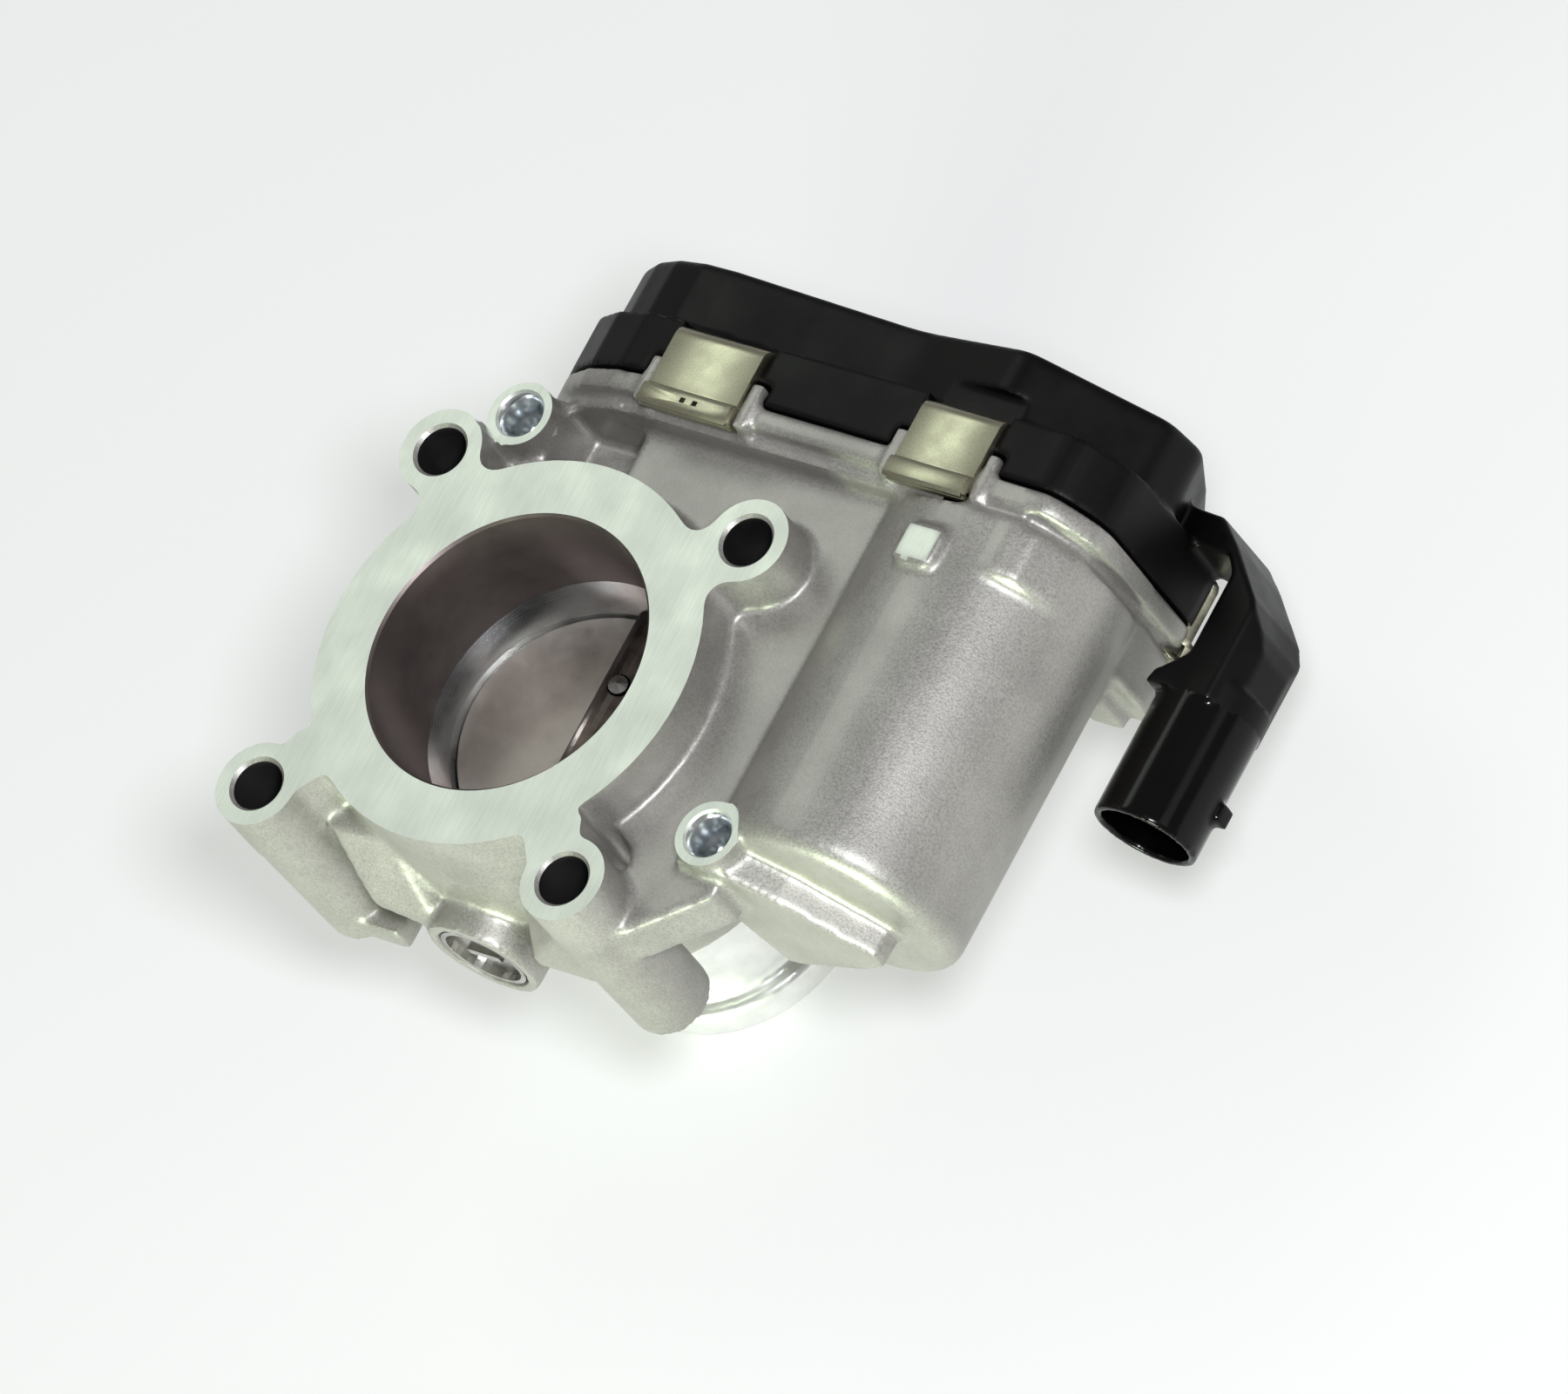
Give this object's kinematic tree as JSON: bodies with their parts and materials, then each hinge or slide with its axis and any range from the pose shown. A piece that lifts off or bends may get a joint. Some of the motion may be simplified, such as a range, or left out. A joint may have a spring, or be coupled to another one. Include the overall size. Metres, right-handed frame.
{
  "type": "throttle body",
  "caption": "Motor-driven throttle body: cast housing with bore and bolt flange, side motor, geared plate shaft, clipped cover and connector.",
  "frame": {"origin": "centre of the bore in the plane of the mounting flange face", "axes": "+X from the bore towards the motor, +Y along the throttle shaft towards the gear cover, +Z out of the flange face along the bore"},
  "size_m": [0.1312, 0.1038, 0.0779],
  "materials": {
    "cast_aluminium": "shot-blasted die casting, machined on the flange face",
    "black_polymer": "moulded glass-filled nylon",
    "spring_clip_steel": "nickel-plated spring steel",
    "tinned_brass": "tinned",
    "sintered_bronze": "sintered",
    "gear_nylon": "moulded",
    "black_rubber": "moulded",
    "circuit_board": "solder mask",
    "dark_ferrite": "pressed",
    "copper": "drawn",
    "rolled_plate": "rolled and machined",
    "bright_steel": "turned and ground"
  },
  "bodies": {
    "root": {"connector_pin_1": "tinned_brass", "connector_pin_2": "tinned_brass", "connector_pin_3": "tinned_brass", "connector_pin_4": "tinned_brass", "connector_pin_5": "tinned_brass", "connector_pin_6": "tinned_brass", "cover_clip_1": "spring_clip_steel", "cover_clip_2": "spring_clip_steel", "cover_clip_3": "spring_clip_steel", "cover_clip_4": "spring_clip_steel", "cover_clip_5": "spring_clip_steel", "cover_seal": "black_rubber", "front_shaft_bearing": "bright_steel", "gear_cover": "black_polymer", "intermediate_gear_pin": "bright_steel", "motor_brush_1": "dark_ferrite", "motor_brush_2": "dark_ferrite", "motor_can": "bright_steel", "motor_end_plate": "black_polymer", "motor_front_bush": "sintered_bronze", "motor_magnet_1": "dark_ferrite", "motor_magnet_2": "dark_ferrite", "motor_rear_bush": "sintered_bronze", "motor_screw_1": "bright_steel", "motor_screw_2": "bright_steel", "motor_terminal_1": "tinned_brass", "motor_terminal_2": "tinned_brass", "motor_wave_washer": "bright_steel", "rear_shaft_bearing": "bright_steel", "return_spring": "bright_steel", "sensor_board": "circuit_board", "shaft_end_plug": "bright_steel", "shaft_seal": "black_rubber", "throttle_housing": "cast_aluminium"},
    "throttle": {"throttle_shaft": "bright_steel", "throttle_plate": "rolled_plate", "plate_screw_1": "bright_steel", "plate_screw_2": "bright_steel", "sector_gear": "gear_nylon", "sensor_rotor": "rolled_plate"},
    "intermediate": {"intermediate_gear": "gear_nylon"},
    "motor_rotor": {"motor_shaft": "bright_steel", "motor_armature": "bright_steel", "motor_commutator": "copper", "rear_winding": "copper", "front_winding": "copper", "motor_pinion": "sintered_bronze"}
  },
  "joints": [
    {"name": "throttle_turn", "type": "hinge", "parent": "root", "child": "throttle", "pos_m": [0, 0, -0.0294], "axis": [0, 1, 0], "range_deg": [-7, 78], "stiffness_Nm_per_rad": 0.2},
    {"name": "intermediate_turn", "type": "hinge", "parent": "root", "child": "intermediate", "pos_m": [0.03024, 0, -0.02545], "axis": [0, 1, 0], "range_deg": [-320, 30]},
    {"name": "motor_turn", "type": "hinge", "parent": "root", "child": "motor_rotor", "pos_m": [0.0573, 0, -0.02], "axis": [0, 1, 0], "range_deg": [-88, 976]}
  ],
  "couplings": [
    {"joint": "intermediate_turn", "follows": "throttle_turn", "ratio": -4.0833},
    {"joint": "motor_turn", "follows": "throttle_turn", "ratio": 12.49}
  ]
}
